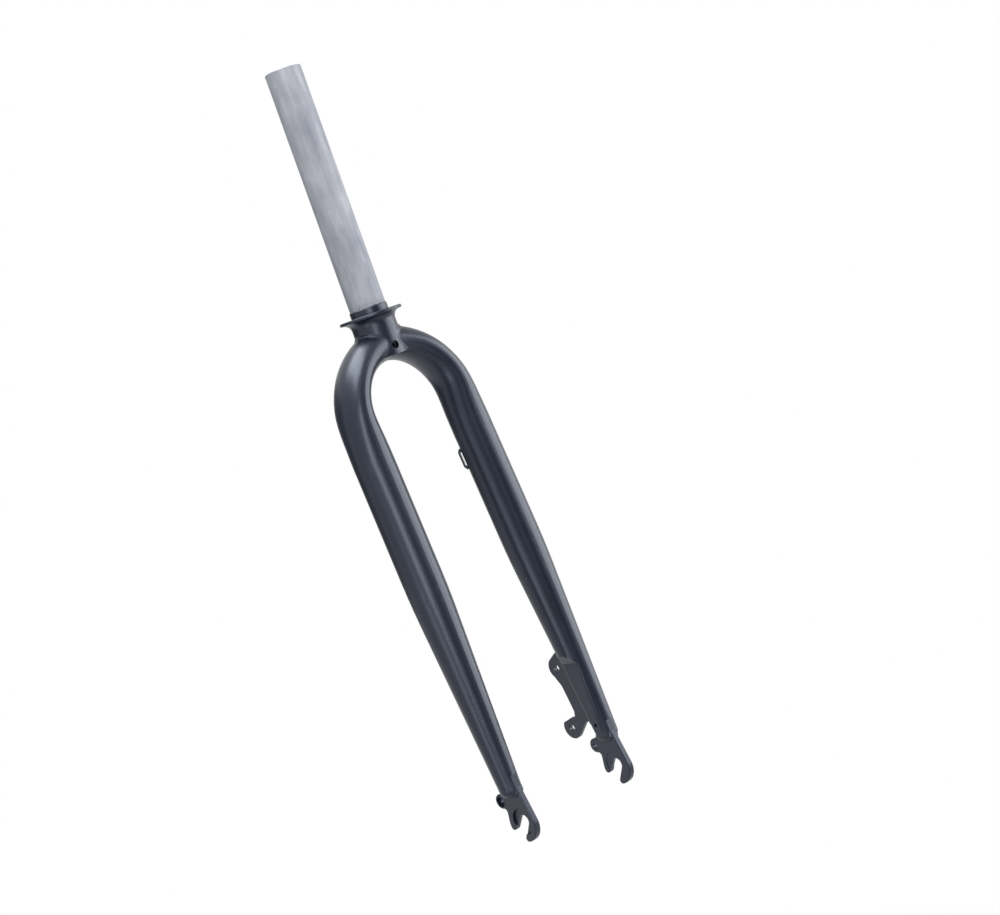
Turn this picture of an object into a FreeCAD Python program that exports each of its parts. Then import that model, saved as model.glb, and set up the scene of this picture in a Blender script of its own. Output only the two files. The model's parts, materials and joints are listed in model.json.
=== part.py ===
import FreeCAD, Part
import Sketcher
import math
import os

# A rigid steel bicycle fork, in millimetres. The origin is on the steerer axis at the shoulder that the
# lower headset bearing sits on. +Z runs up the steerer, +X points forward and +Y to the rider's left.

doc = FreeCAD.newDocument("bicycle_fork")
sizes = doc.addObject("Spreadsheet::Sheet", "sizes")
rows = [
    ("steerer_od", "28.6"),
    ("steerer_bore", "25.4"),
    ("steerer_height", "195"),
    ("steerer_chamfer", "0.5"),
    ("spigot_step", "0.3"),
    ("press_gap", "0.02"),
    ("race_od", "30.0"),
    ("race_height", "5.3"),
    ("race_chamfer", "0.5"),
    ("flange_od", "49.8"),
    ("flange_thick", "2.6"),
    ("flange_round", "0.9"),
    ("neck_od", "35"),
    ("neck_fillet", "5.8"),
    ("crown_depth", "35"),
    ("brake_hole", "6.2"),
    ("brake_hole_drop", "28"),
    ("rake", "38"),
    ("axle_drop", "395"),
    ("hub_spacing", "100"),
    ("root_drop", "24.4"),
    ("crown_span", "100.4"),
    ("tip_out", "1.1"),
    ("bend_radius", "54.6"),
    ("blade_od", "31.8"),
    ("blade_wall", "1.5"),
    ("tip_od", "17"),
    ("tip_round", "5.8"),
    ("tip_above_axle", "20"),
    ("taper_length", "162"),
    ("taper_soften", "15"),
    ("oval_long", "36.8"),
    ("oval_short", "24.0"),
    ("root_inset", "2.6"),
    ("root_short", "26.6"),
    ("root_over", "4"),
    ("oval_fade", "32"),
    ("seam_gap", "0.02"),
    ("flat_inset", "4.4"),
    ("flat_drop", "299"),
    ("flat_ramp", "9"),
    ("flat_lead", "5.6"),
    ("flat_round", "2.6"),
    ("vent_hole", "3"),
    ("vent_above_tip", "15"),
    ("dropout_thick", "5.6"),
    ("hub_recess", "0.3"),
    ("hub_recess_od", "22"),
    ("lever_recess", "1.8"),
    ("lever_recess_od", "21"),
    ("dropout_disc_od", "28.6"),
    ("disc_back", "2"),
    ("disc_down", "2.5"),
    ("axle_slot", "9.5"),
    ("slot_mouth", "11.5"),
    ("slot_angle", "38"),
    ("slot_tip_round", "2.6"),
    ("tang_top", "36"),
    ("tang_gap", "0.05"),
    ("tang_flush", "0.25"),
    ("neck_start", "6.5"),
    ("dropout_round", "1.1"),
    ("eyelet_back", "17.7"),
    ("eyelet_up", "16.2"),
    ("eyelet_hole", "5"),
    ("eyelet_lobe", "11.8"),
    ("eyelet_spot", "8.6"),
    ("eyelet_spot_depth", "2.2"),
    ("eyelet_web_rise", "1.5"),
    ("eyelet_web_round", "2.6"),
    ("edge_break", "0.4"),
    ("mount_pitch", "51"),
    ("mount_hole", "6.4"),
    ("mount_thick", "4"),
    ("mount_lobe", "18.2"),
    ("mount_flat", "7.2"),
    ("mount_flat_turn", "116"),
    ("mount_back", "38"),
    ("mount_up", "32.2"),
    ("mount_tilt", "7.66"),
    ("guide_drop", "130"),
    ("guide_length", "17.4"),
    ("guide_width", "6"),
    ("guide_gap", "1.1"),
    ("guide_strap", "1.4"),
    ("guide_foot", "2.6"),
    ("guide_turn", "225"),
    ("guide_bury", "1"),
    ("crown_weld_round", "6.5"),
    ("bead_leg", "1.3"),
    ("bead_rise", "6.5"),
]
for number, (name, value) in enumerate(rows, 1):
    sizes.set("A%d" % number, name)
    sizes.set("B%d" % number, value)
    sizes.setAlias("B%d" % number, name)
doc.recompute()

V = FreeCAD.Vector


def value(text):
    """The number that an expression over the sheet comes to."""
    got = sizes.evalExpression(str(text))
    return float(got.Value if hasattr(got, "Value") else got)


def plane(body, role):
    """One of a body's own origin planes."""
    return [part for part in body.Origin.OriginFeatures if part.Role == role][0]


def new_body(name, placement=None):
    body = doc.addObject("PartDesign::Body", name)
    if placement:
        body.setExpression("Placement", placement)
    return body


def new_sketch(body, name, role, offset=None):
    sketch = body.newObject("Sketcher::SketchObject", name)
    sketch.AttachmentSupport = [(plane(body, role), "")]
    sketch.MapMode = "FlatFace"
    if offset:
        sketch.setExpression("AttachmentOffset.Base.z", offset)
    return sketch


def pin(sketch, geometry, point, across, up, label):
    """Fix one point of a sketch at two expressions, measured from the sketch's origin."""
    for kind, text, axis, mark in (("DistanceX", across, -2, "x"), ("DistanceY", up, -1, "y")):
        number = value(text)
        if abs(number) < 1e-9:
            sketch.addConstraint(Sketcher.Constraint("PointOnObject", geometry, point, axis))
            continue
        at = sketch.addConstraint(Sketcher.Constraint(kind, -1, 1, geometry, point, number))
        sketch.renameConstraint(at, mark + label)
        sketch.setExpression("Constraints." + mark + label, str(text))


def outline(body, name, role, points, offset=None):
    """A closed outline of straight lines through points given as expressions."""
    sketch = new_sketch(body, name, role, offset)
    spots = [V(value(a), value(b), 0) for a, b in points]
    count = len(spots)
    for i in range(count):
        sketch.addGeometry(Part.LineSegment(spots[i], spots[(i + 1) % count]), False)
    for i in range(count):
        sketch.addConstraint(Sketcher.Constraint("Coincident", i, 2, (i + 1) % count, 1))
    for i, (a, b) in enumerate(points):
        pin(sketch, i, 1, a, b, "_%d" % i)
    return sketch


def ring(body, name, role, diameter, across="0", up="0", offset=None):
    """A circle of one diameter, its centre given as expressions."""
    sketch = new_sketch(body, name, role, offset)
    middle = V(value(across), value(up), 0)
    sketch.addGeometry(Part.Circle(middle, V(0, 0, 1), value(diameter) / 2), False)
    pin(sketch, 0, 3, across, up, "_c")
    at = sketch.addConstraint(Sketcher.Constraint("Diameter", 0, value(diameter)))
    sketch.renameConstraint(at, "diameter")
    sketch.setExpression("Constraints.diameter", str(diameter))
    return sketch


def pad(body, sketch, length, both=False):
    made = body.newObject("PartDesign::Pad", sketch.Name + "_pad")
    made.Profile = sketch
    made.setExpression("Length", str(length))
    made.SideType = "Symmetric" if both else "One side"
    doc.recompute()
    return made


def pocket(body, sketch, depth=None, flip=False):
    """Cut a sketch out of a body, to a depth or right through, and say so if nothing was cut."""
    before = body.Shape.Volume
    made = body.newObject("PartDesign::Pocket", sketch.Name + "_cut")
    made.Profile = sketch
    made.Reversed = flip
    if depth:
        made.Type = "Length"
        made.setExpression("Length", str(depth))
    else:
        made.Type = "ThroughAll"
        made.SideType = "Symmetric"
    doc.recompute()
    if body.Shape.Volume >= before - 1e-6:
        raise RuntimeError("nothing was cut by " + made.Name)
    return made


def turn(body, sketch, axis="V_Axis"):
    made = body.newObject("PartDesign::Revolution", sketch.Name + "_turned")
    made.Profile = sketch
    made.ReferenceAxis = (sketch, [axis])
    made.Angle = 360
    doc.recompute()
    return made


def soften(body, kind, name, picked, size):
    """Round or chamfer the picked edges of the body's last feature."""
    base = body.Tip
    made = body.newObject("PartDesign::" + kind, name)
    made.Base = (base, picked)
    made.setExpression("Radius" if kind == "Fillet" else "Size", str(size))
    doc.recompute()
    return made


def hoops(feature, radius, level):
    """Names of the full circles of one radius at one height."""
    found = []
    for i, edge in enumerate(feature.Shape.Edges, 1):
        curve = edge.Curve
        if not isinstance(curve, Part.Circle):
            continue
        if abs(curve.Radius - radius) < 1e-4 and abs(curve.Center.z - level) < 1e-4:
            found.append("Edge%d" % i)
    return found


def rims(feature, depth):
    """Names of the edges that bound the two flat faces of a plate."""
    found = []
    for i, edge in enumerate(feature.Shape.Edges, 1):
        box = edge.BoundBox
        if box.YLength < 1e-4 and (abs(box.Center.y) < 1e-4 or abs(box.Center.y + depth) < 1e-4):
            found.append("Edge%d" % i)
    return found


def boolean(kind, name, base, tool):
    made = doc.addObject("Part::" + kind, name)
    made.Base = base
    made.Tool = tool
    doc.recompute()
    return made


def mirror(name, source):
    made = doc.addObject("Part::Mirroring", name)
    made.Source = source
    made.Base = V(0, 0, 0)
    made.Normal = V(0, 1, 0)
    doc.recompute()
    return made


# Steerer tube: turned, with a spigot at its foot that presses into the collar.
steerer = new_body("steerer_tube")
bore = "sizes.steerer_bore / 2"
wall = "sizes.steerer_od / 2"
spigot = "sizes.steerer_od / 2 - sizes.spigot_step"
top = "sizes.steerer_height"
tube_profile = outline(steerer, "tube_profile", "XZ_Plane", [
    (bore, "-sizes.crown_depth"),
    (spigot, "-sizes.crown_depth"),
    (spigot, "sizes.race_height"),
    (wall, "sizes.race_height"),
    (wall, top + " - sizes.steerer_chamfer"),
    (wall + " - sizes.steerer_chamfer", top),
    (bore, top),
])
turn(steerer, tube_profile)
hole = ("YZ_Plane", "sizes.brake_hole", "0", "-sizes.brake_hole_drop")
pocket(steerer, ring(steerer, "tube_brake_hole", *hole))

# Crown collar: turned, with the bearing seat, the flange and the neck that the blades are welded to.
collar = new_body("crown_collar")
socket = spigot + " + sizes.press_gap"
neck = "sizes.neck_od / 2"
collar_profile = outline(collar, "collar_profile", "XZ_Plane", [
    (socket, "-sizes.crown_depth"),
    (neck, "-sizes.crown_depth"),
    (neck, "-sizes.flange_thick"),
    ("sizes.flange_od / 2", "-sizes.flange_thick"),
    ("sizes.flange_od / 2", "0"),
    ("sizes.race_od / 2", "0"),
    ("sizes.race_od / 2", "sizes.race_height - sizes.race_chamfer"),
    ("sizes.race_od / 2 - sizes.race_chamfer", "sizes.race_height"),
    (socket, "sizes.race_height"),
])
turned = turn(collar, collar_profile)
under = hoops(turned, value(neck), -value("sizes.flange_thick"))
flared = soften(collar, "Fillet", "neck_flare", under, "sizes.neck_fillet")
rim_radius = value("sizes.flange_od / 2")
rim = hoops(flared, rim_radius, 0) + hoops(flared, rim_radius, -value("sizes.flange_thick"))
soften(collar, "Fillet", "flange_rim", rim, "sizes.flange_round")
pocket(collar, ring(collar, "collar_brake_hole", *hole))

# Where a blade goes: the bend starts in the middle of the collar, and the leg runs straight on from it.
reach = "(sizes.axle_drop - sizes.root_drop)"
tilt = "atan(sizes.rake / " + reach + ")"
half = "(sizes.crown_span / 2)"
axle_line = "sqrt(sizes.rake ^ 2 + " + reach + " ^ 2)"
plate_middle = "(sizes.hub_spacing / 2 - sizes.hub_recess + sizes.dropout_thick / 2)"
straight = "(" + axle_line + " - sizes.tip_above_axle - sizes.bend_radius)"
lean = "atan((" + plate_middle + " + sizes.tip_out - " + half + ") / " + straight + ")"
ratio = "((sizes.bend_radius * cos(" + lean + ") - " + half + ") / sizes.bend_radius)"
knee = "(sizes.bend_radius * sqrt(1 - " + ratio + " ^ 2) - sizes.bend_radius * sin(" + lean + "))"
leg_end = "((" + axle_line + " - sizes.tip_above_axle - " + knee + ") / cos(" + lean + "))"
bend_turn = "(acos(" + ratio + ") - " + lean + ")"
leg_place = (
    "placement(vector(" + knee + " * sin(" + tilt + "); " + half + ";"
    " -sizes.root_drop - " + knee + " * cos(" + tilt + ")); rotation(0; -" + tilt + "; " + lean + "))"
)
fade_end = "(sizes.oval_fade * 1.2)"
round_half = "(sizes.blade_od / 2)"
slope = "((sizes.blade_od - sizes.tip_od) / 2 / sizes.taper_length)"


def leg_solid(name, inset):
    """The straight part of a blade, turned about its own axis: tube, soft taper start, taper, round end."""
    leg = new_body(name + "_leg", leg_place)
    foot = "-(%s - %s)" % (leg_end, inset)
    full = round_half + " - " + inset
    start = "(%s - sizes.taper_length)" % leg_end
    points = [("0", "-" + fade_end), (full, "-" + fade_end)]
    for step in (0, 1, 2, 3):
        lost = "%s * sizes.taper_soften * %d / 9" % (slope, step * step)
        points.append((full + " - " + lost, "-(%s + sizes.taper_soften * (2 * %d / 3 - 1))" % (start, step)))
    points += [("sizes.tip_od / 2 - " + inset, foot), ("0", foot)]
    made = turn(leg, outline(leg, name + "_profile", "XZ_Plane", points))
    end = hoops(made, value("sizes.tip_od / 2 - " + inset), value(foot))
    soften(leg, "Fillet", name + "_end", end, "sizes.tip_round - " + inset)
    return leg


def blade_solid(name, inset):
    """One blade as a solid, its skin moved in by nothing for the outside or by the wall for the inside."""
    root = ("((sizes.neck_od - sizes.root_inset) / 2)", "(sizes.root_short / 2)")
    oval = ("(sizes.oval_long / 2)", "(sizes.oval_short / 2)")
    whole = "(%s + sizes.root_over * 1 deg)" % bend_turn
    in_bend = [(1.0, 0.0), (0.8, 0.2), (0.5, 0.5), (0.2, 0.8), (0.0, 1.0), (0.0, 1.0)]
    in_bend += [(0.0, 0.92), (0.0, 0.74), (0.0, 0.5)]
    in_leg = [(1 / 3, 0.25), (2 / 3, 0.07), (1.0, 0.0), (1.2, 0.0)]
    stations = [("(%s * %g)" % (whole, 1 - i / 8), None, a, b) for i, (a, b) in enumerate(in_bend)]
    stations += [(None, "(sizes.oval_fade * %.6f)" % along, 0.0, b) for along, b in in_leg]
    loops = []
    for number, (angle, down, at_root, at_oval) in enumerate(stations):
        loop = doc.addObject("Part::Ellipse", "%s_loop_%d" % (name, number))
        rest = 1.0 - at_root - at_oval
        for prop, which in (("MajorRadius", 0), ("MinorRadius", 1)):
            ends = "%s * %g + %s * %g" % (root[which], at_root, oval[which], at_oval)
            loop.setExpression(prop, "%s + %s * %g - %s" % (ends, round_half, rest, inset))
        spot = "vector(0; 0; -%s)" % down
        if angle:
            out = "sizes.bend_radius * (cos(%s) - 1)" % angle
            spot = "vector(0; %s; sizes.bend_radius * sin(%s))" % (out, angle)
        turned_by = "rotation(vector(1; 0; 0); %s)" % (angle or 0)
        loop.setExpression("Placement", "placement(%s; %s)" % (spot, turned_by))
        loops.append(loop)
    doc.recompute()
    bend = doc.addObject("Part::Loft", name + "_bend")
    bend.Sections = loops
    bend.Solid = True
    bend.Ruled = False
    bend.setExpression("Placement", leg_place)
    leg = leg_solid(name, inset)
    return boolean("Fuse", name, bend, leg)


skin = blade_solid("blade_skin", "0")
hollow = blade_solid("blade_hollow", "sizes.blade_wall")

# Room cut out of each blade: the collar, the other blade, the dropout's tang and the vent hole.
crown_room = doc.addObject("Part::Cylinder", "crown_room")
crown_room.setExpression("Radius", neck + " + sizes.press_gap")
crown_room.setExpression("Height", "sizes.crown_depth * 2")
crown_room.setExpression("Placement.Base.z", "-sizes.crown_depth - sizes.press_gap")
seam_room = doc.addObject("Part::Box", "seam_room")
seam_room.setExpression("Length", "sizes.neck_od * 2")
seam_room.setExpression("Width", "sizes.neck_od")
seam_room.setExpression("Height", "sizes.crown_depth * 3")
seam_room.setExpression("Placement", "placement(vector(-sizes.neck_od; sizes.seam_gap - sizes.neck_od;"
                        " -sizes.crown_depth * 3); rotation(0; 0; 0))")
inner_face = "(sizes.hub_spacing / 2 - sizes.hub_recess)"
axle_place = "placement(vector(sizes.rake; %s; -sizes.axle_drop); rotation(0; -%s; 0))" % (inner_face, tilt)
tang_room = doc.addObject("Part::Box", "tang_room")
tang_room.setExpression("Length", "sizes.blade_od * 2")
tang_room.setExpression("Width", "sizes.dropout_thick + 2 * sizes.tang_gap")
tang_room.setExpression("Height", "sizes.tang_top + sizes.tang_gap")
tang_shift = " * placement(vector(-sizes.blade_od; -sizes.tang_gap; 0); rotation(0; 0; 0))"
tang_room.setExpression("Placement", axle_place + tang_shift)
vent_room = doc.addObject("Part::Cylinder", "vent_room")
vent_room.setExpression("Radius", "sizes.vent_hole / 2")
vent_room.setExpression("Height", "sizes.blade_od / 2")
vent_side = "-sizes.blade_od / 2 - sizes.tip_od / 2 + sizes.blade_wall * 1.7"
vent_at = "vector(0; %s; -(%s - sizes.vent_above_tip))" % (vent_side, leg_end)
vent_shift = " * placement(%s; rotation(vector(1; 0; 0); -90))" % vent_at
vent_room.setExpression("Placement", "blade_skin_leg.Placement" + vent_shift)
rooms = doc.addObject("Part::MultiFuse", "blade_rooms")
rooms.Shapes = [crown_room, seam_room, tang_room, vent_room]
doc.recompute()

# Right blade: the plain tube, opposite hand.
plain_tube = boolean("Cut", "plain_tube", skin, hollow)
plain_blade = boolean("Cut", "plain_blade", plain_tube, rooms)
right_blade = mirror("right_blade", plain_blade)


flat_level = "sizes.hub_spacing / 2 - sizes.flat_inset"


def rotor_flat(name, inset):
    """The press that flattens the wheel side of the left blade, as the space it sweeps."""
    body = new_body(name)
    face = flat_level + " + " + inset
    shape = outline(body, name + "_profile", "YZ_Plane", [
        (flat_level + " - sizes.blade_od", "-sizes.flat_drop"),
        (face + " - sizes.flat_lead", "-sizes.flat_drop"),
        (face, "-sizes.flat_drop - sizes.flat_ramp"),
        (face, "-sizes.axle_drop"),
        (flat_level + " - sizes.blade_od", "-sizes.axle_drop"),
    ])
    pad(body, shape, "sizes.blade_od * 4", True)
    return body


pressed_skin = boolean("Cut", "pressed_skin", skin, rotor_flat("press_outside", "0"))
pressed_hollow = boolean("Cut", "pressed_hollow", hollow, rotor_flat("press_inside", "sizes.blade_wall"))


def rolled_flat():
    """The pressed skin with the long edges of its flat rolled over, as bending leaves them."""
    level = value(flat_level)
    along = []
    for edge in pressed_skin.Shape.Edges:
        box = edge.BoundBox
        if abs(box.YMin - level) < 1e-4 and abs(box.YMax - level) < 1e-4 and box.ZLength > 0.1:
            along.append(edge)
    return pressed_skin.Shape.makeFillet(value("sizes.flat_round"), along)


rolled_skin = doc.addObject("Part::Feature", "rolled_skin")
rolled_skin.Shape = rolled_flat()
pressed_tube = boolean("Cut", "pressed_tube", rolled_skin, pressed_hollow)
left_blade = boolean("Cut", "left_blade", pressed_tube, rooms)

# Dropout: a plate around the axle, a neck up into the blade, an eyelet lobe behind, the slot and recesses.
dropout = new_body("left_dropout", "placement(vector(sizes.rake; %s + sizes.dropout_thick; -sizes.axle_drop);"
                   " rotation(0; 0; 0))" % inner_face)
thick = "sizes.dropout_thick"
disc_spot = ("-sizes.disc_back", "-sizes.disc_down")
pad(dropout, ring(dropout, "axle_disc", "XZ_Plane", "sizes.dropout_disc_od", *disc_spot), thick)


def on_blade(up, side):
    """A point on the blade's front or back line at a distance above the axle, as two expressions."""
    grown = "(%s - sizes.tip_above_axle) * %s" % (up, slope)
    out = "(%d * (sizes.tip_od / 2 - sizes.tang_flush + %s))" % (side, grown)
    across = "-(%s) * sin(%s) + %s * cos(%s)" % (up, tilt, out, tilt)
    return (across, "(%s) * cos(%s) + %s * sin(%s)" % (up, tilt, out, tilt))


def onto_disc(spot, side):
    """Where a line from a point touches the disc, in front of it or behind it, as two expressions."""
    across = "((%s) + sizes.disc_back)" % spot[0]
    up = "((%s) + sizes.disc_down)" % spot[1]
    radius = "(sizes.dropout_disc_od / 2)"
    away = "sqrt(%s ^ 2 + %s ^ 2)" % (across, up)
    facing = "(atan2(%s; %s) - %d * acos(%s / %s))" % (up, across, side, radius, away)
    return ("%s * cos(%s) - sizes.disc_back" % (radius, facing),
            "%s * sin(%s) - sizes.disc_down" % (radius, facing))


low = "sizes.tip_above_axle + sizes.neck_start"
neck_shape = outline(dropout, "dropout_neck", "XZ_Plane", [
    on_blade(low, 1),
    onto_disc(on_blade(low, 1), 1),
    disc_spot,
    onto_disc(on_blade(low, -1), -1),
    on_blade(low, -1),
])
pad(dropout, neck_shape, thick)
eye = ("-sizes.eyelet_back", "sizes.eyelet_up")
pad(dropout, ring(dropout, "eyelet_lobe_disc", "XZ_Plane", "sizes.eyelet_lobe", *eye), thick)
lobe_top = "sizes.eyelet_up + sizes.eyelet_lobe / 2"
lobe_web = outline(dropout, "eyelet_web", "XZ_Plane", [
    ("-sizes.eyelet_back", lobe_top),
    ("-sizes.eyelet_back + sizes.eyelet_lobe * 0.7", lobe_top + " + sizes.eyelet_web_rise"),
    ("-sizes.eyelet_back + sizes.eyelet_lobe * 0.9", "sizes.eyelet_up - sizes.eyelet_lobe / 2"),
    ("-sizes.eyelet_back", "sizes.eyelet_up - sizes.eyelet_lobe / 2"),
])
pad(dropout, lobe_web, thick)
pocket(dropout, ring(dropout, "axle_seat", "XZ_Plane", "sizes.axle_slot"))
away = "sizes.dropout_disc_od * 0.75"


def down_slot(along, across):
    """A point along and across the slot from the axle, as two expressions."""
    return ("-(%s) * sin(sizes.slot_angle) + (%s) * cos(sizes.slot_angle)" % (along, across),
            "-(%s) * cos(sizes.slot_angle) - (%s) * sin(sizes.slot_angle)" % (along, across))


channel = outline(dropout, "axle_channel", "XZ_Plane", [
    down_slot("0", "sizes.axle_slot / 2"),
    down_slot(away, "sizes.slot_mouth / 2"),
    down_slot(away, "-sizes.slot_mouth / 2"),
    down_slot("0", "-sizes.axle_slot / 2"),
])
mouth = pocket(dropout, channel)


def uprights(feature, wanted):
    """Names of the edges across the plate whose place in its outline is wanted."""
    found = []
    for i, edge in enumerate(feature.Shape.Edges, 1):
        box = edge.BoundBox
        straight_across = box.YLength > value(thick) - 0.01 and box.XLength < 0.01 and box.ZLength < 0.01
        if straight_across and wanted(box.Center.x, box.Center.z):
            found.append("Edge%d" % i)
    return found


def at_mouth(across, up):
    """True at the two corners where the slot leaves the disc."""
    out = math.hypot(across + value("sizes.disc_back"), up + value("sizes.disc_down"))
    return abs(out - value("sizes.dropout_disc_od / 2")) < 0.05 and up < -value("sizes.axle_slot / 2")


def under_eyelet(across, up):
    """True at the inside corner below the eyelet."""
    lobe_low = value("sizes.eyelet_up - sizes.eyelet_lobe / 2")
    return abs(up - lobe_low) < 0.01 and across > value("-sizes.eyelet_back") + 0.1


tips = soften(dropout, "Fillet", "slot_tips", uprights(mouth, at_mouth), "sizes.slot_tip_round")
webbed = soften(dropout, "Fillet", "eyelet_corner", uprights(tips, under_eyelet), "sizes.eyelet_web_round")
soften(dropout, "Fillet", "dropout_edges", rims(webbed, value(thick)), "sizes.dropout_round")
lever_ring = ring(dropout, "lever_recess_ring", "XZ_Plane", "sizes.lever_recess_od")
pocket(dropout, lever_ring, "sizes.lever_recess", True)
hub_ring = ring(dropout, "hub_recess_ring", "XZ_Plane", "sizes.hub_recess_od", offset=thick)
pocket(dropout, hub_ring, "sizes.hub_recess")
spot_ring = ring(dropout, "eyelet_spot_ring", "XZ_Plane", "sizes.eyelet_spot", *eye)
pocket(dropout, spot_ring, "sizes.eyelet_spot_depth", True)
pocket(dropout, ring(dropout, "eyelet_thread", "XZ_Plane", "sizes.eyelet_hole", *eye))
tang_foot = low + " - sizes.dropout_round"
tang_shape = outline(dropout, "dropout_tang", "XZ_Plane", [
    on_blade("sizes.tang_top", -1),
    on_blade("sizes.tang_top", 1),
    on_blade(tang_foot, 1),
    on_blade(tang_foot, -1),
])
pad(dropout, tang_shape, thick)
right_dropout = mirror("right_dropout", dropout)

# Disc brake mount: a plate with two lobes, its front edge cut to the back of the blade.
mount_blank = new_body("mount_blank", "placement(vector(sizes.rake - sizes.mount_back;"
                       " sizes.hub_spacing / 2 + sizes.mount_thick; sizes.mount_up - sizes.axle_drop);"
                       " rotation(0; sizes.mount_tilt; 0))")
pitch = "sizes.mount_pitch"
lobe = "(sizes.mount_lobe / 2)"
plate = "sizes.mount_thick"
pad(mount_blank, ring(mount_blank, "lower_lobe", "XZ_Plane", "sizes.mount_lobe"), plate)
web = outline(mount_blank, "mount_web", "XZ_Plane", [
    ("-" + lobe + " * 0.56", pitch + " - " + lobe + " * 0.83"),
    (lobe + " * 0.08", pitch + " * 0.7"),
    (lobe + " * 0.81", pitch + " * 0.3"),
    (lobe + " * 0.6", "0"),
    (lobe + " * 0.74", "-" + lobe + " * 0.67"),
    (lobe + " * 2", pitch + " * 0.14"),
    (lobe + " * 3.6", pitch + " * 0.14"),
    (lobe + " * 2", pitch + " * 1.27"),
    (lobe + " * 0.17", pitch + " * 1.255"),
    ("-" + lobe + " * 0.72", pitch + " + " + lobe + " * 0.69"),
])
pad(mount_blank, web, plate)
lobed = pad(mount_blank, ring(mount_blank, "upper_lobe", "XZ_Plane", "sizes.mount_lobe", "0", pitch), plate)
soften(mount_blank, "Chamfer", "mount_edges", rims(lobed, value(plate)), "sizes.edge_break")


def beyond_flat(out, along):
    """A point out from the lower hole toward its flat and along the flat, as two expressions."""
    turned_by = "sizes.mount_flat_turn"
    across = "(%s) * cos(%s) - (%s) * sin(%s)" % (out, turned_by, along, turned_by)
    return (across, "(%s) * sin(%s) + (%s) * cos(%s)" % (out, turned_by, along, turned_by))


trim = outline(mount_blank, "lobe_flat", "XZ_Plane", [
    beyond_flat("sizes.mount_flat", "-sizes.mount_lobe / 2"),
    beyond_flat("sizes.mount_lobe", "-sizes.mount_lobe / 2"),
    beyond_flat("sizes.mount_lobe", "sizes.mount_lobe / 2"),
    beyond_flat("sizes.mount_flat", "sizes.mount_lobe / 2"),
])
pocket(mount_blank, trim)
pocket(mount_blank, ring(mount_blank, "lower_mount_hole", "XZ_Plane", "sizes.mount_hole"))
pocket(mount_blank, ring(mount_blank, "upper_mount_hole", "XZ_Plane", "sizes.mount_hole", "0", pitch))
brake_mount = boolean("Cut", "disc_brake_mount", mount_blank, skin)

# Hose guide: a bridge with two feet, bent to stand off the blade and cut to sit on it.
guide_at = "vector(0; 0; -sizes.guide_drop + sizes.root_drop + %s)" % knee
guide_shift = " * placement(%s; rotation(vector(0; 0; 1); sizes.guide_turn))" % guide_at
guide_blank = new_body("guide_blank", "blade_skin_leg.Placement" + guide_shift)
skin_at = round_half
crest = skin_at + " + sizes.guide_gap + sizes.guide_strap"
long_half = "sizes.guide_length / 2"
bridge = outline(guide_blank, "guide_bridge", "XZ_Plane", [
    (skin_at + " - sizes.guide_bury", "-" + long_half),
    (skin_at + " + sizes.guide_strap * 0.6", "-" + long_half),
    (crest, "-" + long_half + " + sizes.guide_foot"),
    (crest, long_half + " - sizes.guide_foot"),
    (skin_at + " + sizes.guide_strap * 0.6", long_half),
    (skin_at + " - sizes.guide_bury", long_half),
])
pad(guide_blank, bridge, "sizes.guide_width", True)
gap = outline(guide_blank, "guide_opening", "XZ_Plane", [
    (skin_at + " - 2 * sizes.guide_bury", "-" + long_half + " + sizes.guide_foot"),
    (skin_at + " + sizes.guide_gap", "-" + long_half + " + sizes.guide_foot * 1.3"),
    (skin_at + " + sizes.guide_gap", long_half + " - sizes.guide_foot * 1.3"),
    (skin_at + " - 2 * sizes.guide_bury", long_half + " - sizes.guide_foot"),
])
pocket(guide_blank, gap)
guide = boolean("Cut", "hose_guide", guide_blank, skin)

# Crown welds: the corner between the skin of a blade and the collar, filled to a round and kept on its own.
def crown_bead():
    radius = value(neck)
    depth = value("sizes.crown_depth")
    solid_neck = Part.makeCylinder(radius, depth * 2, V(0, 0, -depth))
    above = Part.makeBox(depth * 4, depth * 4, depth * 4, V(-depth * 2, -depth * 2, -depth))
    arm = skin.Shape.common(above)
    joined = solid_neck.fuse(arm)
    corner = []
    for edge in joined.Edges:
        box = edge.BoundBox
        off_neck = max(abs(math.hypot(spot.x, spot.y) - radius) for spot in edge.discretize(12))
        if off_neck < 0.01 and box.YMin > 0.5 and box.XLength > 5 and box.ZLength > 5:
            corner.append(edge)
    filled = joined.makeFillet(value("sizes.crown_weld_round"), corner)
    bead = filled.cut([solid_neck, arm])
    return max(bead.Solids, key=lambda solid: solid.Volume)


left_crown_weld = doc.addObject("Part::Feature", "left_crown_weld")
left_crown_weld.Shape = crown_bead()
right_crown_weld = mirror("right_crown_weld", left_crown_weld)

# Dropout welds: where the round end of a blade closes on the plate, as far out as the bead's leg.
bead_leg = leg_solid("bead_skin", "-sizes.bead_leg")
bead_span = doc.addObject("Part::Box", "dropout_bead_span")
bead_span.setExpression("Length", "sizes.blade_od + sizes.tip_od / 2 - 2 * sizes.tang_flush")
bead_span.setExpression("Width", "sizes.dropout_thick + 2 * sizes.bead_leg")
bead_span.setExpression("Height", "sizes.bead_rise + sizes.bead_leg * 2")
bead_span.setExpression("Placement", axle_place + " * placement(vector(-sizes.blade_od; -sizes.bead_leg;"
                        " sizes.tip_above_axle - sizes.bead_leg * 2); rotation(0; 0; 0))")
dropout_bead = boolean("Common", "dropout_bead", bead_leg, bead_span)
dropout_bead = boolean("Cut", "dropout_bead_off_blade", dropout_bead, skin)
left_dropout_weld = boolean("Cut", "left_dropout_weld", dropout_bead, dropout)
right_dropout_weld = mirror("right_dropout_weld", left_dropout_weld)

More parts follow.
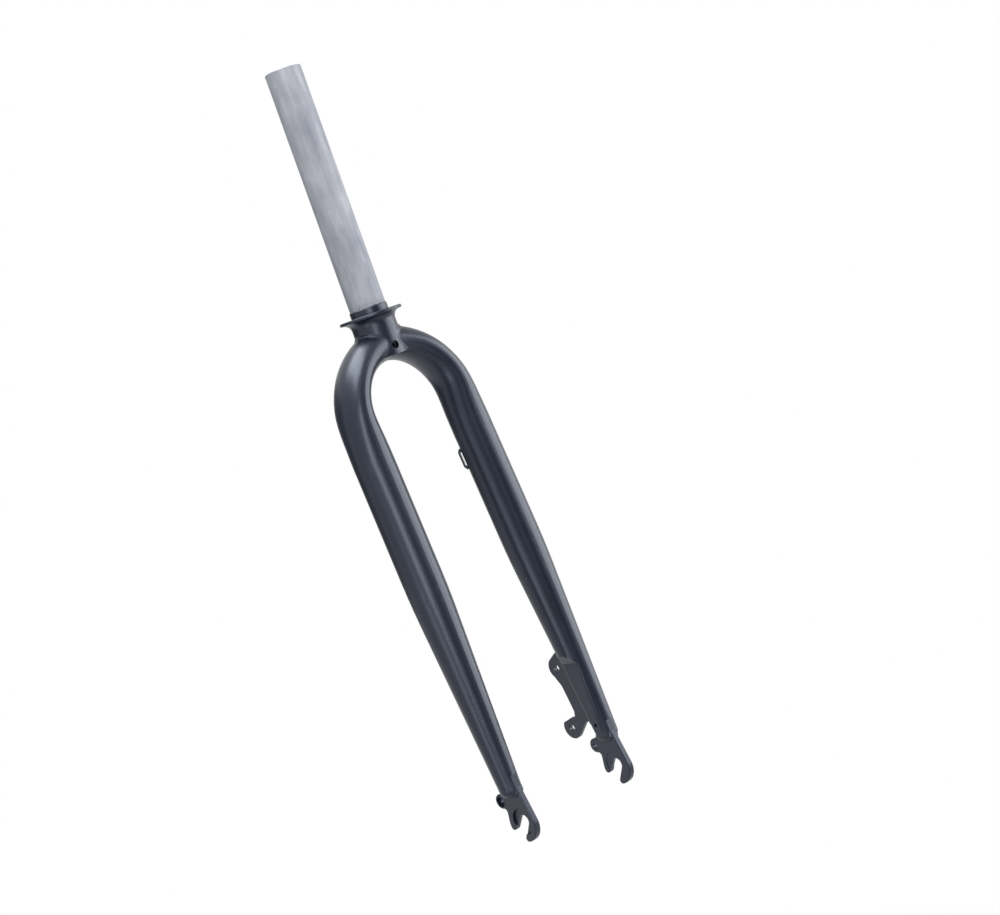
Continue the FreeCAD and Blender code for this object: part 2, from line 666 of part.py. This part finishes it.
# Brake mount weld: the same bead round the edge of the mount that meets the blade.
mount_span = doc.addObject("Part::Box", "mount_bead_span")
mount_span.setExpression("Length", lobe + " * 3.1")
mount_span.setExpression("Width", plate + " + 2 * sizes.bead_leg")
mount_span.setExpression("Height", pitch + " * 1.12 + 2 * sizes.bead_leg")
mount_span.setExpression("Placement", "mount_blank.Placement * placement(vector(0; -%s - sizes.bead_leg;"
                         " %s * 0.14 - sizes.bead_leg); rotation(0; 0; 0))" % (plate, pitch))
mount_bead = boolean("Common", "mount_bead", bead_leg, mount_span)
mount_bead = boolean("Cut", "mount_bead_off_blade", mount_bead, skin)
mount_bead = boolean("Cut", "mount_bead_off_plate", mount_bead, mount_blank)
mount_weld = boolean("Cut", "brake_mount_weld", mount_bead, dropout)

finished = [steerer, collar, left_blade, right_blade, dropout, right_dropout, brake_mount, guide]
finished += [left_crown_weld, right_crown_weld, left_dropout_weld, right_dropout_weld, mount_weld]
doc.recompute()
bad = [part.Name for part in doc.Objects if "Invalid" in part.State or "Error" in part.State]
if bad:
    raise RuntimeError("not built: " + ", ".join(bad))
os.makedirs("parts", exist_ok=True)
for part in finished:
    shape = part.Shape
    if shape.isNull() or not shape.isValid():
        raise RuntimeError("bad shape: " + part.Label)
    print("%-18s solids %d  volume %9.1f" % (part.Label, len(shape.Solids), shape.Volume))
    shape.exportStep("parts/" + part.Label + ".step")
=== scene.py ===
# %% [markdown]
# # A rigid steel bicycle fork
# The fork is a weldment: a bare steerer tube, a turned collar, two bent blades, two cut dropouts, a disc brake
# mount and a hose guide. The solids come from the CAD model as a fixed frame. This file gives them their paint,
# their bare steel, their weld beads, a floor, lamps and the camera of the photograph.

# %% Load the frame
import json
import math
import bpy
from mathutils import Matrix, Vector


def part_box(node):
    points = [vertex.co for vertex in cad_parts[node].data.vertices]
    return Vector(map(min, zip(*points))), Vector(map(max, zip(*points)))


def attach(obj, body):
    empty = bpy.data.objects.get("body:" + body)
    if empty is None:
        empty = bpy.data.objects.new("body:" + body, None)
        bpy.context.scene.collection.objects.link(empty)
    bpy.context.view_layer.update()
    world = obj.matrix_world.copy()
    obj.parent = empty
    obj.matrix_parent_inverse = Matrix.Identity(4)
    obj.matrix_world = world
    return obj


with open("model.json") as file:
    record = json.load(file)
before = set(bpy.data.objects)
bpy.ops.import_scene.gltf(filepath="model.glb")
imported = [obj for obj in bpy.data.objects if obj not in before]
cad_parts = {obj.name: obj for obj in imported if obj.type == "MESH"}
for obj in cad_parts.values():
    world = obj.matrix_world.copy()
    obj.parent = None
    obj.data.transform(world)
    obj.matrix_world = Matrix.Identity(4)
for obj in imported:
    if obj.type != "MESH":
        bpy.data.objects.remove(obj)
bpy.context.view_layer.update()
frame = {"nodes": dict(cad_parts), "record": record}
nodes = frame["nodes"]
print("solids:", ", ".join(sorted(nodes)))

# %% [markdown]
# ## Camera
# The photograph was taken from the front right, level with the collar, and the fork leans in the picture.
# The lean could come from turning the object, but then its mounts would leave their places, so the camera rolls.
# Place, aim, roll and lens were fitted to the fork's outline in the photograph.

# %% Camera
CAMERA_AT = Vector((1.1868, -0.9048, -0.0103))
CAMERA_AIM = Vector((0.0336, 0.0460, -0.1373))
CAMERA_ROLL = math.radians(-19.58)
LENS = 69.95

look = (CAMERA_AIM - CAMERA_AT).normalized()
level = look.cross(Vector((0, 0, 1))).normalized()
upright = level.cross(look)
side = level * math.cos(CAMERA_ROLL) + upright * math.sin(CAMERA_ROLL)
top = upright * math.cos(CAMERA_ROLL) - level * math.sin(CAMERA_ROLL)
camera_data = bpy.data.cameras.new("camera")
camera_data.sensor_fit = "HORIZONTAL"
camera_data.sensor_width = 36.0
camera_data.lens = LENS
camera_data.clip_start = 0.01
camera = bpy.data.objects.new("camera", camera_data)
bpy.context.scene.collection.objects.link(camera)
camera.matrix_world = Matrix.Translation(CAMERA_AT) @ Matrix((side, top, -look)).transposed().to_4x4()
bpy.context.scene.camera = camera
print("camera is %.2f m from the collar" % CAMERA_AT.length)

# %% [markdown]
# ## Node maths in plain Python
# A finish is a sum of small patterns. Wiring each one by hand hides the sum, so one small class wraps a socket and
# lets Python's own operators add the Math nodes. Any other node comes from a single function that sets the node's
# settings first and then its sockets. The weld tree further down is built with the same two helpers.

# %% Signals
class Signal:
    """An output socket of a node tree that can be added, scaled and raised like a number."""

    def __init__(self, tree, socket):
        self.tree = tree
        self.socket = socket

    def node(self, kind, settings=None, out=0, **sockets):
        return add_node(self.tree, kind, settings, out, **sockets)

    def maths(self, operation, first, second=None):
        made = self.tree.nodes.new("ShaderNodeMath")
        made.operation = operation
        for socket, given in zip(made.inputs, (first, second)):
            if given is not None:
                plug(self.tree, given, socket)
        return Signal(self.tree, made.outputs[0])

    def __add__(self, other):
        return self.maths("ADD", self, other)

    __radd__ = __add__

    def __sub__(self, other):
        return self.maths("SUBTRACT", self, other)

    def __rsub__(self, other):
        return self.maths("SUBTRACT", other, self)

    def __mul__(self, other):
        return self.maths("MULTIPLY", self, other)

    __rmul__ = __mul__

    def __truediv__(self, other):
        return self.maths("DIVIDE", self, other)

    def __pow__(self, other):
        return self.maths("POWER", self, other)

    def between(self, low, high):
        """0 below low, 1 above high and a straight ramp between them."""
        share = (self - low) / (high - low)
        return self.maths("MINIMUM", self.maths("MAXIMUM", share, 0.0), 1.0)


print("a signal can be added, scaled, raised and ramped")

# %% Nodes and finishes
def plug(tree, given, socket):
    """Link a signal into a socket, or set the socket to a plain value."""
    if isinstance(given, Signal):
        tree.links.new(given.socket, socket)
    else:
        socket.default_value = given


def add_node(tree, kind, settings=None, out=0, **sockets):
    """Add any node: its settings first, then its sockets by name, with _ for a space."""
    made = tree.nodes.new(kind)
    for name, given in (settings or {}).items():
        setattr(made, name, given)
    for name, given in sockets.items():
        plain = name.replace("_", " ")
        plug(tree, given, [socket for socket in made.inputs if socket.name == plain and socket.enabled][0])
    return Signal(tree, made.outputs[out])


def new_finish(name):
    """A material, its shader node and the object coordinates that its patterns read."""
    finish = bpy.data.materials.new(name)
    finish.use_nodes = True
    tree = finish.node_tree
    place = Signal(tree, tree.nodes.new("ShaderNodeTexCoord").outputs["Object"])
    return finish, tree.nodes["Principled BSDF"], place


print("finishes start from object coordinates")

# %% Patterns
def stretched(place, across, along):
    """Coordinates scaled sideways and lengthwise, for a pattern that runs along the steerer."""
    return place.node("ShaderNodeMapping", {"vector_type": "POINT"}, Vector=place, Scale=(across, across, along))


def from_axis(place):
    """The distance from the steerer's axis."""
    return place.node("ShaderNodeVectorMath", {"operation": "LENGTH"}, 1, Vector=stretched(place, 1.0, 0.0))


def noise(place, scale, detail, rough):
    return place.node("ShaderNodeTexNoise", Vector=place, Scale=scale, Detail=detail, Roughness=rough)


def blend_colours(amount, first, second):
    """A colour that goes from first to second as the amount goes from 0 to 1."""
    made = amount.node("ShaderNodeMix", {"data_type": "RGBA"}, Factor=amount).socket.node
    plug(amount.tree, first, made.inputs[6])
    plug(amount.tree, second, made.inputs[7])
    return Signal(amount.tree, made.outputs[2])


print("patterns ready")

# %% [markdown]
# ## Black paint
# The real fork has a sprayed and baked semi-gloss black with a cool cast. It is never a flat black: the spray leaves
# a fine orange peel, the film is a little thicker in some places than in others, and the gloss drifts with it.
# An image could carry that, but noise on object coordinates needs no unwrapping and stays sharp at any distance.

# %% Black paint
PAINT_DARK = (0.0062, 0.0083, 0.0170, 1.0)
PAINT_LIGHT = (0.0107, 0.0140, 0.0265, 1.0)
PAINT_SHEEN = (0.80, 0.86, 1.0, 1.0)
FILM_SCALE, PEEL_SCALE, GRAIN_SCALE = 21.0, 430.0, 2400.0
PAINT_GLOSS = 0.27
PEEL_DEPTH = 0.00012

paint, paint_shader, place = new_finish("black_paint")
film = noise(place, FILM_SCALE, 4.0, 0.6)
peel = noise(place, PEEL_SCALE, 2.0, 0.5)
grain = noise(place, GRAIN_SCALE, 1.0, 0.5)
colour = blend_colours(film.between(0.3, 0.7), PAINT_DARK, PAINT_LIGHT)
plug(paint.node_tree, colour, paint_shader.inputs["Base Color"])
plug(paint.node_tree, PAINT_GLOSS + film * 0.06 + grain * 0.04, paint_shader.inputs["Roughness"])
relief = place.node("ShaderNodeBump", Height=peel * 0.8 + grain * 0.2, Strength=0.35, Distance=PEEL_DEPTH)
plug(paint.node_tree, relief, paint_shader.inputs["Normal"])
paint_shader.inputs["Specular Tint"].default_value = PAINT_SHEEN
print("black paint has", len(paint.node_tree.nodes), "nodes")

# %% [markdown]
# ## Bare steel
# The steerer is left bare for the bearing and the stem. It is a drawn tube, so faint streaks run along it, and a thin
# grey film from the mill makes it mottled and soft rather than mirror bright. Its cut end shows the rings of the
# saw, its bore is darker, and a little paint mist lies just above the collar. Each of these is a mask on object
# coordinates: height finds the cut and the mist, and the distance from the axis finds the bore.

# %% Steel marks
TUBE_TOP = 0.195
TUBE_BORE = 0.0127
COLLAR_TOP = 0.0053
SKIN = 0.0001
MIST_RISE = 0.005

steel, steel_shader, place = new_finish("bare_steel")
streaks = noise(stretched(place, 160.0, 5.0), 1.0, 3.0, 0.6)
mottle = noise(stretched(place, 70.0, 30.0), 1.0, 4.0, 0.6)
tone = (streaks * 0.4 + mottle * 0.6).between(0.36, 0.64)
height = Signal(steel.node_tree, place.node("ShaderNodeSeparateXYZ", Vector=place).socket.node.outputs["Z"])
radius = from_axis(place)
in_bore = 1.0 - radius.between(TUBE_BORE + SKIN, TUBE_BORE + 3 * SKIN)
on_cut = height.between(TUBE_TOP - 3 * SKIN, TUBE_TOP - SKIN)
near_collar = 1.0 - height.between(COLLAR_TOP, COLLAR_TOP + MIST_RISE)
mist = near_collar * noise(place, 900.0, 2.0, 0.6).between(0.5, 0.66) * 0.7
print("steel marks use", len(steel.node_tree.nodes), "nodes")

# %% Bare steel
STEEL_DULL = (0.211, 0.224, 0.260, 1.0)
STEEL_BRIGHT = (0.370, 0.375, 0.411, 1.0)
STEEL_BORE = (0.10, 0.10, 0.11, 1.0)
METAL_SHARE = 0.3
SAW_RINGS = 9000.0
LINE_DEPTH = 0.00006

toned = blend_colours(tone, STEEL_DULL, STEEL_BRIGHT)
bored = blend_colours(in_bore, toned, STEEL_BORE)
misted = blend_colours(mist, bored, PAINT_LIGHT)
plug(steel.node_tree, misted, steel_shader.inputs["Base Color"])
plug(steel.node_tree, (1.0 - mist) * METAL_SHARE, steel_shader.inputs["Metallic"])
plug(steel.node_tree, 0.76 - tone * 0.1 + in_bore * 0.1, steel_shader.inputs["Roughness"])
lines = noise(stretched(place, 1500.0, 30.0), 1.0, 1.0, 0.5)
rings = radius.maths("SINE", radius * SAW_RINGS) * on_cut
relief = place.node("ShaderNodeBump", Height=lines + rings * 0.6, Strength=0.3, Distance=LINE_DEPTH)
plug(steel.node_tree, relief, steel_shader.inputs["Normal"])
print("bare steel has", len(steel.node_tree.nodes), "nodes")

# %% [markdown]
# ## Finishes on the solids
# Every solid of the frame keeps its own shape and gets one of the two finishes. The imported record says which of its
# material slots each solid takes, so the list isn't repeated here.

# %% Finishes on the solids
FINISHES = {"black_paint": paint, "bare_steel": steel}
for part in frame["record"]["subparts"]:
    solid = nodes[part["node"]]
    solid.data.materials.clear()
    solid.data.materials.append(FINISHES[part["material_slot"]])
    print("%-20s %s" % (part["node"], part["material_slot"]))

# %% [markdown]
# ## Weld beads
# A hand-laid weld is a row of overlapping puddles along the joint. It could be sculpted, or drawn as a bump, but the
# row follows a line and repeats, so a Geometry Nodes tree sweeps a round bead along the line and swells it once for
# each puddle. A little noise, which is the same at every run, keeps the puddles from being alike.

# %% Weld bead tree
def weld_tree():
    tree = bpy.data.node_groups.new("weld_bead", "GeometryNodeTree")
    face = tree.interface
    face.new_socket("Line", in_out="INPUT", socket_type="NodeSocketGeometry")
    for name in ("Bead radius", "Puddle pitch", "Swell"):
        face.new_socket(name, in_out="INPUT", socket_type="NodeSocketFloat")
    face.new_socket("Finish", in_out="INPUT", socket_type="NodeSocketMaterial")
    face.new_socket("Bead", in_out="OUTPUT", socket_type="NodeSocketGeometry")
    given = {socket.name: Signal(tree, socket) for socket in tree.nodes.new("NodeGroupInput").outputs}
    pitch = given["Puddle pitch"]
    line = add_node(tree, "GeometryNodeMeshToCurve", Mesh=given["Line"])
    even = add_node(tree, "GeometryNodeResampleCurve", {"mode": "LENGTH"}, Curve=line, Length=pitch / 6.0)
    along = Signal(tree, tree.nodes.new("GeometryNodeSplineParameter").outputs["Length"])
    hump = pitch.maths("FRACT", along / pitch) ** 0.6
    uneven = add_node(tree, "ShaderNodeTexNoise", {"noise_dimensions": "3D"}, Scale=260.0, Detail=1.0)
    wide = given["Bead radius"] * (1.0 + given["Swell"] * (hump + uneven - 1.0))
    ring = add_node(tree, "GeometryNodeCurvePrimitiveCircle", Resolution=16, Radius=1.0)
    swept = add_node(tree, "GeometryNodeCurveToMesh", Curve=even, Profile_Curve=ring, Scale=wide, Fill_Caps=True)
    smooth = add_node(tree, "GeometryNodeSetShadeSmooth", Geometry=swept)
    real = add_node(tree, "GeometryNodeRealizeInstances", Geometry=smooth)
    dressed = add_node(tree, "GeometryNodeSetMaterial", Geometry=real, Material=given["Finish"])
    tree.links.new(dressed.socket, tree.nodes.new("NodeGroupOutput").inputs["Bead"])
    return tree


bead_tree = weld_tree()
print("weld tree has", len(bead_tree.nodes), "nodes")

# %% [markdown]
# ### Lines to weld along
# Each joint already has a plain bead in the frame. The points of that bead are sorted along the joint into bins, and
# the mean of each bin is a point of the line, so the visible bead always lies in its own corner.

# %% Lines to weld along
def middle_line(node, turn, low, high, count, keep=lambda spot: True):
    """Mean points of a solid's corners, sorted by a turn value from low to high into a number of bins."""
    bins = [[] for _ in range(count)]
    for vertex in nodes[node].data.vertices:
        spot = nodes[node].matrix_world @ vertex.co
        share = (turn(spot) - low) / (high - low)
        if 0.0 <= share < 1.0 and keep(spot):
            bins[int(share * count)].append(spot)
    return [sum(spots, Vector()) / len(spots) for spots in bins if spots]


def lay_bead(name, lines, bead, pitch, swell):
    """One mesh piece: the weld tree run along one or more lines of points."""
    spots, edges = [], []
    for line in lines:
        edges += [(len(spots) + step, len(spots) + step + 1) for step in range(len(line) - 1)]
        spots += line
    host = bpy.data.meshes.new(name + "_line")
    host.from_pydata(spots, edges, [])
    piece = bpy.data.objects.new(name, host)
    bpy.context.scene.collection.objects.link(piece)
    laid = piece.modifiers.new("weld", "NODES")
    laid.node_group = bead_tree
    values = {"Bead radius": bead, "Puddle pitch": pitch, "Swell": swell, "Finish": paint}
    for item in bead_tree.interface.items_tree:
        if item.in_out == "INPUT" and item.name in values:
            laid[item.identifier] = values[item.name]
    plain = bpy.data.meshes.new_from_object(piece.evaluated_get(bpy.context.evaluated_depsgraph_get()))
    piece.modifiers.remove(laid)
    piece.data = plain
    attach(piece, "root")
    print("%-20s %d faces" % (name, len(plain.polygons)))


print("each bead is the weld tree, run along its lines")

# %% [markdown]
# ### Crown welds
# Where a blade meets the collar, the real weld is broad, ground soft and full of paint. A round bead that stood proud
# would look like a cord, so it is sunk into its corner until only the tops of the puddles ripple the surface.

# %% Crown welds
ARM_MIDDLE = -0.0274
BEAD_RADIUS = 0.0024
BEAD_SINK = 0.0023
BEAD_PITCH = 0.0021
BEAD_SWELL = 0.1
BARE_TURN = 1.05
BEAD_POINTS = 30


def round_arm(spot):
    """The angle of a point about the middle of a blade's root, from below and round by the front."""
    return (math.atan2(spot.z - ARM_MIDDLE, spot.x) + math.pi / 2) % (2 * math.pi)


def into_corner(spot):
    """The way from a point on a crown weld into the corner between the blade and the collar."""
    to_axis = Vector((-spot.x, -spot.y, 0.0)).normalized()
    to_arm = Vector((-spot.x, 0.0, ARM_MIDDLE - spot.z)).normalized()
    return (to_axis + to_arm).normalized()


for hand in ("left", "right"):
    line = middle_line(hand + "_crown_weld", round_arm, BARE_TURN, 2 * math.pi - BARE_TURN, BEAD_POINTS)
    sunk = [spot + into_corner(spot) * BEAD_SINK for spot in line]
    lay_bead(hand + "_crown_bead", [sunk], BEAD_RADIUS, BEAD_PITCH, BEAD_SWELL)

# %% [markdown]
# ### Brake mount weld
# The mount is a plate on the back of the left blade, with a small bead down each face. The plain bead goes round the
# plate, so its points are kept by side to give two lines.

# %% Brake mount weld
PLATE_FACES = (0.0502, 0.0538)
END_MARGIN = 0.001
MOUNT_POINTS = 12
MOUNT_RADIUS, MOUNT_PITCH, MOUNT_SWELL = 0.0011, 0.0014, 0.12

low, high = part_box("brake_mount_weld")
sides = []
for keep in (lambda spot: spot.y < PLATE_FACES[0], lambda spot: spot.y > PLATE_FACES[1]):
    ends = low.z + END_MARGIN, high.z - END_MARGIN
    sides.append(middle_line("brake_mount_weld", lambda spot: spot.z, *ends, MOUNT_POINTS, keep))
lay_bead("brake_mount_bead", sides, MOUNT_RADIUS, MOUNT_PITCH, MOUNT_SWELL)

# %% [markdown]
# ## Floor
# The photograph is a studio shot on pure white. The floor is a wide plane under the lowest point of a wheel. Near the
# fork it is a pale surface that takes the shadow, and further out it fades to plain white for the camera and for
# anything glossy. More light would also make it white, but it would bleach the steel.

# %% Floor
FLOOR_DROP = -0.735
REACH = 12.0

floor_mesh = bpy.data.meshes.new("floor")
corners = [(-REACH, -REACH), (REACH, -REACH), (REACH, REACH), (-REACH, REACH)]
floor_mesh.from_pydata([(x, y, FLOOR_DROP) for x, y in corners], [], [(0, 1, 2, 3)])
floor = bpy.data.objects.new("floor", floor_mesh)
bpy.context.scene.collection.objects.link(floor)
print("floor at %.3f m" % FLOOR_DROP)

# %% Floor finish
FLOOR_PALE = (0.86, 0.86, 0.86, 1.0)
WHITE = (1.0, 1.0, 1.0, 1.0)
FADE_FROM, FADE_TO = 0.22, 0.5


def seen_directly(tree):
    """1 for what the camera, a reflection or a view through glass sees, and 0 for light on its way."""
    rays = tree.nodes.new("ShaderNodeLightPath").outputs
    names = ("Is Camera Ray", "Is Glossy Ray", "Is Transmission Ray")
    return sum(Signal(tree, rays[name]) for name in names).between(0.0, 1.0)


floor_finish, floor_shader, place = new_finish("studio_floor")
floor_shader.inputs["Base Color"].default_value = FLOOR_PALE
floor_shader.inputs["Roughness"].default_value = 0.9
floor_tree = floor_finish.node_tree
white = place.node("ShaderNodeEmission", Strength=1.0, Color=WHITE)
mix = floor_tree.nodes.new("ShaderNodeMixShader")
plug(floor_tree, seen_directly(floor_tree) * from_axis(place).between(FADE_FROM, FADE_TO), mix.inputs[0])
floor_tree.links.new(floor_shader.outputs[0], mix.inputs[1])
floor_tree.links.new(white.socket, mix.inputs[2])
floor_tree.links.new(mix.outputs[0], floor_tree.nodes["Material Output"].inputs["Surface"])
floor_mesh.materials.append(floor_finish)
print("floor fades to white between %.2f and %.2f m from the axis" % (FADE_FROM, FADE_TO))

# %% [markdown]
# ## Light
# Black paint shows little but the lights around it, so the lights are placed from the paint itself: the direction
# that each pixel of a blade reflects was worked out from its surface, and its brightness in the photograph says how
# bright the studio is there. That gave one large soft light high on the left, one on the right, and two small ones,
# behind the camera and low on the left. Up is the picture's own up, because the fork leaned and the studio
# didn't. The world is white to look at and dimmer as a source, so that colours come out about as written. For the
# same reason each soft light has two parts: a lamp that lights the surfaces at a plain level, and a card of its own
# size at the brightness that the photograph's reflections show, which only reflections see. A lamp that bright would
# bleach the steel and the floor.

# %% World
WORLD_LIGHT = 0.3

world = bpy.data.worlds.new("studio")
bpy.context.scene.world = world
world.use_nodes = True
sky = world.node_tree
sky.nodes["Background"].inputs["Color"].default_value = WHITE
plug(sky, WORLD_LIGHT + seen_directly(sky) * (1.0 - WORLD_LIGHT), sky.nodes["Background"].inputs["Strength"])
print("world is white to the camera and %.1f as a light" % WORLD_LIGHT)

# %% Places around the fork
FORK_MIDDLE = Vector((0.02, 0.0, -0.12))


def facing_fork(swing, rise, away):
    """A place swung right from the camera and raised, whose front looks back at the fork."""
    turn, lift = math.radians(swing), math.radians(rise)
    out = (side * math.sin(turn) - look * math.cos(turn)) * math.cos(lift) + top * math.sin(lift)
    across = top.cross(out).normalized()
    turned = Matrix((across, out.cross(across), out)).transposed().to_4x4()
    return Matrix.Translation(FORK_MIDDLE + out * away) @ turned


def standing(swing, rise, away, wide, tall):
    """The corners of a card that faces the fork from further out."""
    flat = [(-wide / 2, -tall / 2), (wide / 2, -tall / 2), (wide / 2, tall / 2), (-wide / 2, tall / 2)]
    return [facing_fork(swing, rise, away) @ Vector((x, y, 0.0)) for x, y in flat]


print("places are swung from the camera about", tuple(round(number, 2) for number in FORK_MIDDLE))

# %% [markdown]
# A card is a plain rectangle with an even glow. Only the gloss sees it, so it throws no shade, lights nothing else
# and never comes into a picture.

# %% Cards
COOL = (0.97, 0.985, 1.0)
CARD_BLACK = (0.01, 0.01, 0.01, 1.0)


def card(name, corners, glow):
    """A flat card of an even glow that only reflections see."""
    mesh = bpy.data.meshes.new(name)
    mesh.from_pydata(corners, [], [(0, 1, 2, 3)])
    piece = bpy.data.objects.new(name, mesh)
    bpy.context.scene.collection.objects.link(piece)
    finish, shader, _ = new_finish(name)
    shader.inputs["Base Color"].default_value = CARD_BLACK
    shader.inputs["Roughness"].default_value = 1.0
    shader.inputs["Emission Color"].default_value = (*COOL, 1.0)
    shader.inputs["Emission Strength"].default_value = glow
    mesh.materials.append(finish)
    for ray in ("camera", "diffuse", "shadow", "transmission"):
        setattr(piece, "visible_" + ray, False)
    print("%-12s glows %.2f" % (name, glow))


print("cards are seen by reflections alone")

# %% [markdown]
# ### Lamps
# Each row gives the swing and rise in degrees, the distance, width and height in metres, and the glow.

# %% Lamps
PLAIN = 0.5
FRONT = (5, 3, 1.6)
LIGHTS = {
    "high_left": (-62, 58, 1.4, 1.7, 0.9, 9.4),
    "right": (98, 24, 1.5, 1.5, 1.3, 5.0),
    "front": (*FRONT, 0.45, 0.9, 7.4),
    "low_left": (-24, -28, 1.6, 0.5, 0.6, 4.0),
}


def soft_light(name, swing, rise, away, wide, tall, glow):
    """A lamp at a plain level, with a card in its place whose glow the paint reflects."""
    lamp_data = bpy.data.lights.new(name, "AREA")
    lamp_data.shape = "RECTANGLE"
    lamp_data.size = wide
    lamp_data.size_y = tall
    lamp_data.energy = glow * PLAIN * math.pi * wide * tall
    lamp_data.color = COOL
    lamp = bpy.data.objects.new(name, lamp_data)
    bpy.context.scene.collection.objects.link(lamp)
    lamp.matrix_world = facing_fork(swing, rise, away)
    lamp.visible_camera = False
    lamp.visible_glossy = False
    card(name + "_glow", standing(swing, rise, away, wide, tall), glow)
    print("%-12s %.0f W" % (name, lamp_data.energy))


for name, light in LIGHTS.items():
    soft_light(name, *light)

# %% [markdown]
# ### Dark cards
# A photographer stands dark cards beside black tubes, or their edges would melt into the white. One card makes the
# dark line down the middle of each blade, and one darkens their left edges.

# %% Dark cards
BLACK, DIM = 0.0, 0.15
card("front_card", standing(44, 0, 1.4, 0.8, 1.7), BLACK)
card("left_card", standing(-122, -8, 1.4, 1.5, 1.0), DIM)

# %% [markdown]
# The front light draws a bright line down the near blade but not down the far one, so a narrow dim card stands just
# in front of the far blade. It shows that blade a dim grey in place of the light.

# %% Card for the far blade
CARD_AWAY = 0.15
CARD_HALF = 0.035
CARD_GLOW = 0.3
BLADE_TOP = Vector((-0.006, 0.050, -0.03))
BLADE_FOOT = Vector((0.042, 0.052, -0.43))

toward = (facing_fork(*FRONT).translation - (BLADE_TOP + BLADE_FOOT) / 2).normalized()
edge = toward.cross(BLADE_FOOT - BLADE_TOP).normalized() * CARD_HALF
high_end, low_end = BLADE_TOP + toward * CARD_AWAY, BLADE_FOOT + toward * CARD_AWAY
card("far_card", [high_end - edge, low_end - edge, low_end + edge, high_end + edge], CARD_GLOW)

# %% [markdown]
# ## View transform
# The picture's colours go through the Standard view transform.

# %% View transform
bpy.context.scene.view_settings.view_transform = "Standard"
